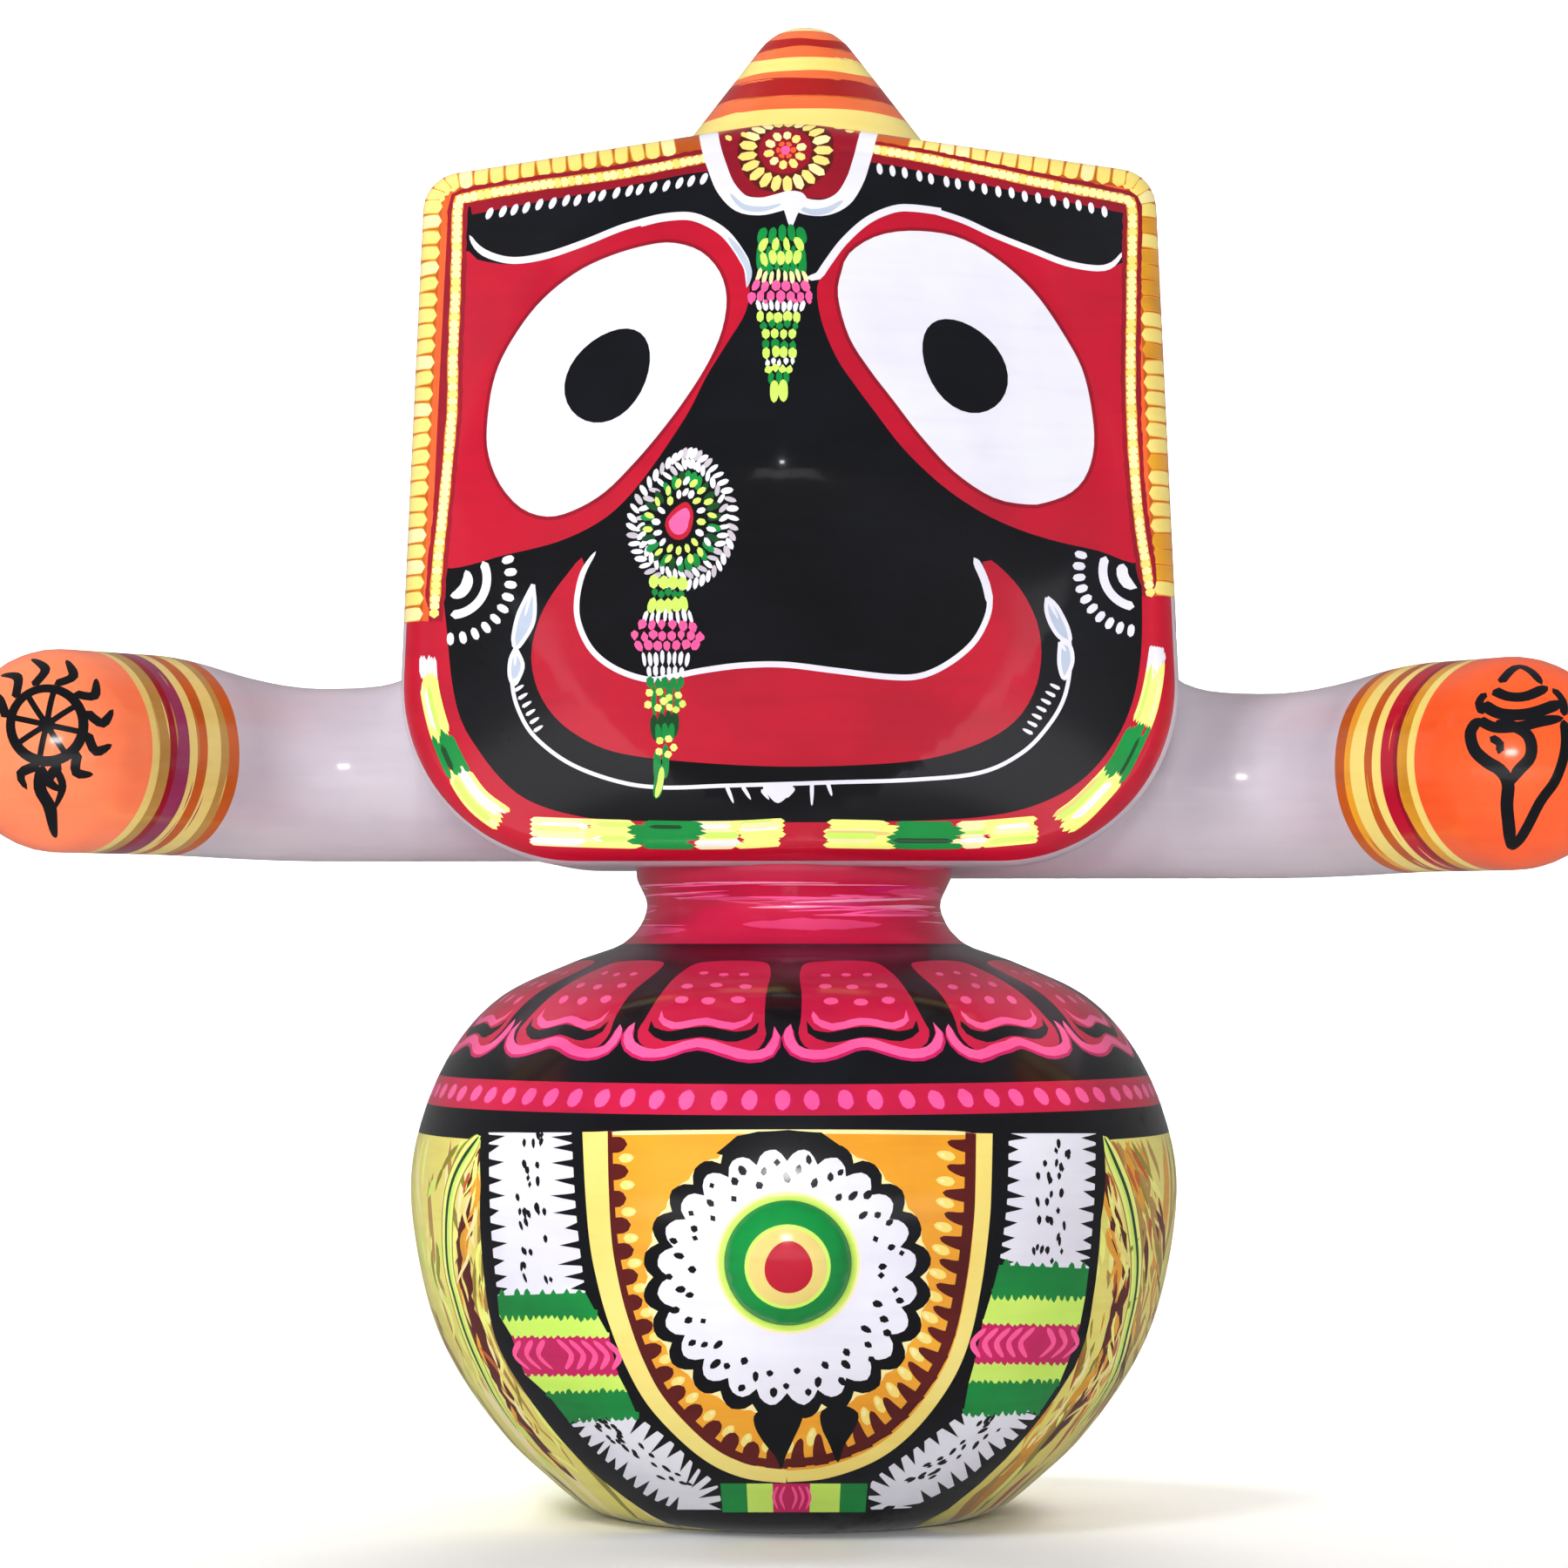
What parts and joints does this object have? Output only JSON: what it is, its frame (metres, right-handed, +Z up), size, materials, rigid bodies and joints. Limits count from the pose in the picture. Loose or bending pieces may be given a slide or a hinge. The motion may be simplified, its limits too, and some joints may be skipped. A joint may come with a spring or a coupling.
{
  "type": "jagannath figure",
  "caption": "Painted wooden deity figure standing on a pot-shaped body, with a broad block head, pointed nose, round topknot and stub arms that curve forward.",
  "frame": {"origin": "centre of the flat round foot, on the surface the figure stands on", "axes": "+Z up, -Y the way the face looks, +X towards the right-hand side of someone facing the figure"},
  "size_m": [0.3279, 0.1597, 0.306],
  "materials": {
    "painted_wood": "gloss enamel brushed on carved wood in many colours, crimson and black foremost"
  },
  "bodies": {
    "root": {"jagannath_figure": "painted_wood"}
  },
  "joints": []
}
